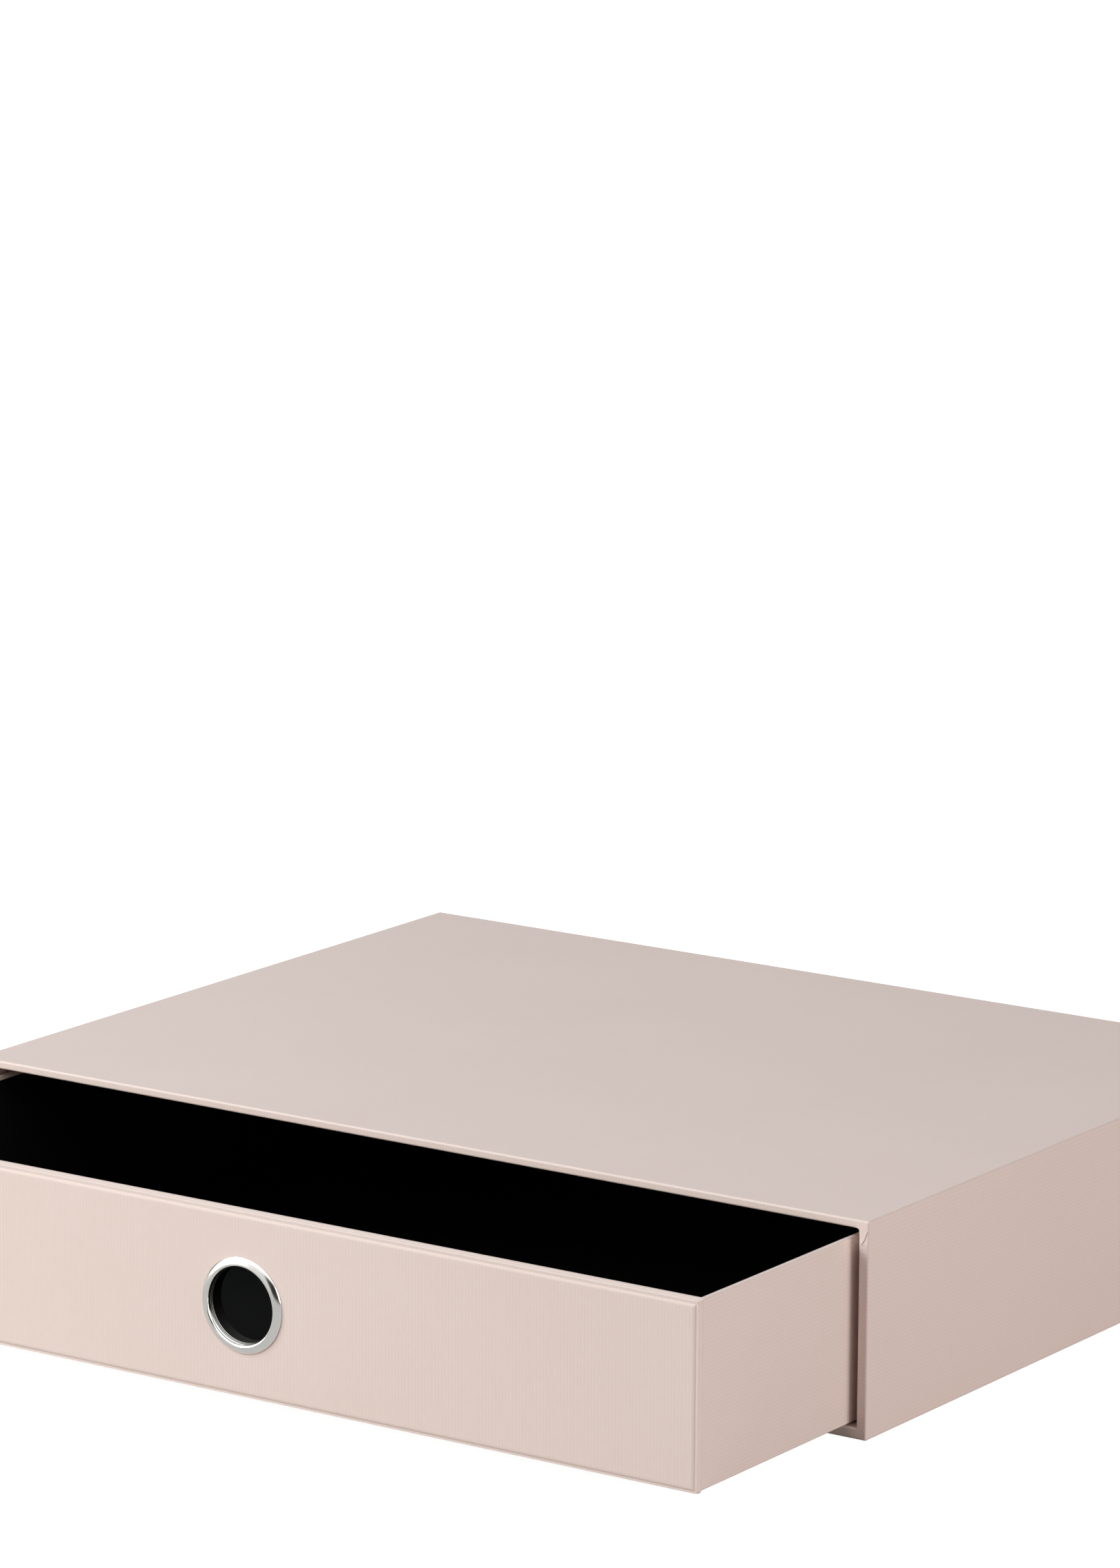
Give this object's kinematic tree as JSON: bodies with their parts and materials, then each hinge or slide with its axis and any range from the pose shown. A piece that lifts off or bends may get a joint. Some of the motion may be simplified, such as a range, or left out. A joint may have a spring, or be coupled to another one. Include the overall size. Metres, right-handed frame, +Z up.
{
  "type": "file box with drawer",
  "caption": "Flat paper-wrapped board file box: an open-fronted sleeve with a black-lined drawer that slides out by a round metal finger ring.",
  "frame": {"origin": "middle of the sleeve's underside, on the surface that the box stands on", "axes": "+Z up, +Y from the open mouth to the closed back, +X to the right as one faces the drawer"},
  "size_m": [0.33, 0.3308, 0.066],
  "materials": {
    "ribbed_paper": "matte",
    "greyboard": "matte",
    "black_paper": "matte",
    "nickel": "polished"
  },
  "bodies": {
    "sleeve": {"sleeve_top_board": "greyboard", "sleeve_bottom_board": "greyboard", "sleeve_left_board": "greyboard", "sleeve_right_board": "greyboard", "sleeve_back_board": "greyboard", "sleeve_wrap": "ribbed_paper", "sleeve_lining": "ribbed_paper", "sleeve_back_lining": "ribbed_paper", "sleeve_back_sheet": "ribbed_paper", "sleeve_base_sheet": "ribbed_paper"},
    "drawer": {"drawer_floor_board": "greyboard", "drawer_left_board": "greyboard", "drawer_right_board": "greyboard", "drawer_back_board": "greyboard", "drawer_front_board": "greyboard", "drawer_wrap": "ribbed_paper", "drawer_base_sheet": "ribbed_paper", "drawer_wall_lining": "black_paper", "drawer_floor_lining": "black_paper", "panel_board": "greyboard", "panel_wrap": "ribbed_paper", "finger_ring": "nickel", "ring_washer": "nickel"}
  },
  "joints": [
    {"name": "drawer_slide", "type": "slide", "parent": "sleeve", "child": "drawer", "axis": [0, -1, 0], "range_m": [-0.0795, 0.138]}
  ]
}
